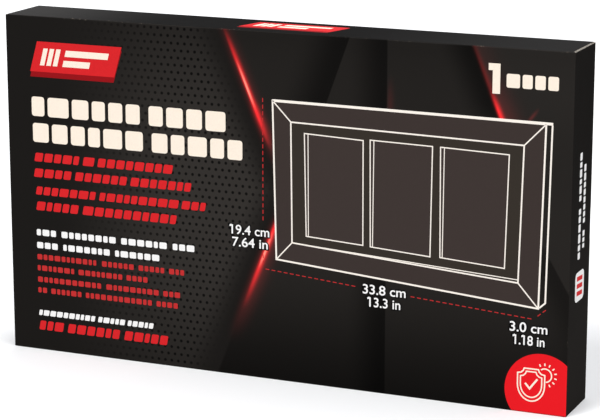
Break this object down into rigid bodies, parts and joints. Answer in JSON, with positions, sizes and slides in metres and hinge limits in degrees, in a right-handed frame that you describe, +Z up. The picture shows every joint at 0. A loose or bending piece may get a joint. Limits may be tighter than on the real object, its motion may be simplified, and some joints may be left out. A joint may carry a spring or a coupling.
{
  "type": "boxed display frame for graded card slabs",
  "caption": "Long printed tuck-end carton standing on its edge, packed with a deep black display frame for graded card slabs.",
  "frame": {"origin": "centre of the carton's lower long face, which it stands on", "axes": "+Z up, +X along the carton's length to the right as seen from the printed front, +Y from the printed front towards the back"},
  "size_m": [0.356, 0.039, 0.208],
  "materials": {
    "printed_board": "satin",
    "plain_board": "matte",
    "packing_foam": "matte",
    "frame_black": "satin",
    "clear_acrylic": "gloss",
    "mat_board": "matte",
    "tray_foam": "matte",
    "hardboard": "matte",
    "plated_steel": "satin",
    "bumper_rubber": "satin"
  },
  "bodies": {
    "carton_and_frame": {"acrylic_window": "clear_acrylic", "back_board": "hardboard", "back_panel": "printed_board", "bottom_panel": "printed_board", "corner_v_nails": "plated_steel", "foam_corner_bottom_left": "packing_foam", "foam_corner_bottom_right": "packing_foam", "foam_corner_top_left": "packing_foam", "foam_corner_top_right": "packing_foam", "foam_face_sheet": "packing_foam", "front_panel": "printed_board", "glue_flap": "plain_board", "hanger_left": "plated_steel", "hanger_nails": "plated_steel", "hanger_right": "plated_steel", "rail_bottom": "frame_black", "rail_left": "frame_black", "rail_right": "frame_black", "rail_top": "frame_black", "slab_tray": "tray_foam", "top_panel": "printed_board", "turn_button_screws": "plated_steel", "wall_bumpers": "bumper_rubber", "window_mat": "mat_board"},
    "right_closure_body": {"right_closure": "printed_board"},
    "right_tuck_flap_body": {"right_tuck_flap": "plain_board"},
    "right_dust_flap_top_body": {"right_dust_flap_top": "plain_board"},
    "right_dust_flap_bottom_body": {"right_dust_flap_bottom": "plain_board"},
    "left_closure_body": {"left_closure": "printed_board"},
    "left_tuck_flap_body": {"left_tuck_flap": "plain_board"},
    "left_dust_flap_top_body": {"left_dust_flap_top": "plain_board"},
    "left_dust_flap_bottom_body": {"left_dust_flap_bottom": "plain_board"},
    "turn_button_bottom_left_body": {"turn_button_bottom_left": "plated_steel"},
    "turn_button_bottom_right_body": {"turn_button_bottom_right": "plated_steel"},
    "turn_button_left_body": {"turn_button_left": "plated_steel"},
    "turn_button_right_body": {"turn_button_right": "plated_steel"},
    "turn_button_top_left_body": {"turn_button_top_left": "plated_steel"},
    "turn_button_top_right_body": {"turn_button_top_right": "plated_steel"}
  },
  "joints": [
    {"name": "right_closure_crease", "type": "hinge", "parent": "carton_and_frame", "child": "right_closure_body", "pos_m": [0.178, -0.0195, 0.104], "axis": [0, 0, -1], "range_deg": [0, 165]},
    {"name": "right_tuck_crease", "type": "hinge", "parent": "right_closure_body", "child": "right_tuck_flap_body", "pos_m": [0.178, 0.0181, 0.104], "axis": [0, 0, -1], "range_deg": [0, 24.75]},
    {"name": "right_dust_crease_top", "type": "hinge", "parent": "carton_and_frame", "child": "right_dust_flap_top_body", "pos_m": [0.17685, 0, 0.208], "axis": [0, -1, 0], "range_deg": [0, 90]},
    {"name": "right_dust_crease_bottom", "type": "hinge", "parent": "carton_and_frame", "child": "right_dust_flap_bottom_body", "pos_m": [0.17685, 0, 0], "axis": [0, 1, 0], "range_deg": [0, 90]},
    {"name": "left_closure_crease", "type": "hinge", "parent": "carton_and_frame", "child": "left_closure_body", "pos_m": [-0.178, -0.0195, 0.104], "axis": [0, 0, 1], "range_deg": [0, 165]},
    {"name": "left_tuck_crease", "type": "hinge", "parent": "left_closure_body", "child": "left_tuck_flap_body", "pos_m": [-0.178, 0.0181, 0.104], "axis": [0, 0, 1], "range_deg": [0, 24.75]},
    {"name": "left_dust_crease_top", "type": "hinge", "parent": "carton_and_frame", "child": "left_dust_flap_top_body", "pos_m": [-0.17685, 0, 0.208], "axis": [0, 1, 0], "range_deg": [0, 90]},
    {"name": "left_dust_crease_bottom", "type": "hinge", "parent": "carton_and_frame", "child": "left_dust_flap_bottom_body", "pos_m": [-0.17685, 0, 0], "axis": [0, -1, 0], "range_deg": [0, 90]},
    {"name": "turn_button_bottom_left_pivot", "type": "hinge", "parent": "carton_and_frame", "child": "turn_button_bottom_left_body", "pos_m": [-0.05, 0.01425, 0.017], "axis": [0, 1, 0], "range_deg": [-90, 90]},
    {"name": "turn_button_bottom_right_pivot", "type": "hinge", "parent": "carton_and_frame", "child": "turn_button_bottom_right_body", "pos_m": [0.05, 0.01425, 0.017], "axis": [0, 1, 0], "range_deg": [-90, 90]},
    {"name": "turn_button_left_pivot", "type": "hinge", "parent": "carton_and_frame", "child": "turn_button_left_body", "pos_m": [-0.159, 0.01425, 0.104], "axis": [0, 1, 0], "range_deg": [-90, 90]},
    {"name": "turn_button_right_pivot", "type": "hinge", "parent": "carton_and_frame", "child": "turn_button_right_body", "pos_m": [0.159, 0.01425, 0.104], "axis": [0, 1, 0], "range_deg": [-90, 90]},
    {"name": "turn_button_top_left_pivot", "type": "hinge", "parent": "carton_and_frame", "child": "turn_button_top_left_body", "pos_m": [-0.05, 0.01425, 0.191], "axis": [0, 1, 0], "range_deg": [-90, 90]},
    {"name": "turn_button_top_right_pivot", "type": "hinge", "parent": "carton_and_frame", "child": "turn_button_top_right_body", "pos_m": [0.05, 0.01425, 0.191], "axis": [0, 1, 0], "range_deg": [-90, 90]}
  ],
  "couplings": [
    {"joint": "right_tuck_crease", "follows": "right_closure_crease", "ratio": 0.15},
    {"joint": "right_dust_crease_top", "follows": "right_closure_crease", "ratio": 0.54545},
    {"joint": "right_dust_crease_bottom", "follows": "right_closure_crease", "ratio": 0.54545},
    {"joint": "left_tuck_crease", "follows": "left_closure_crease", "ratio": 0.15},
    {"joint": "left_dust_crease_top", "follows": "left_closure_crease", "ratio": 0.54545},
    {"joint": "left_dust_crease_bottom", "follows": "left_closure_crease", "ratio": 0.54545}
  ]
}
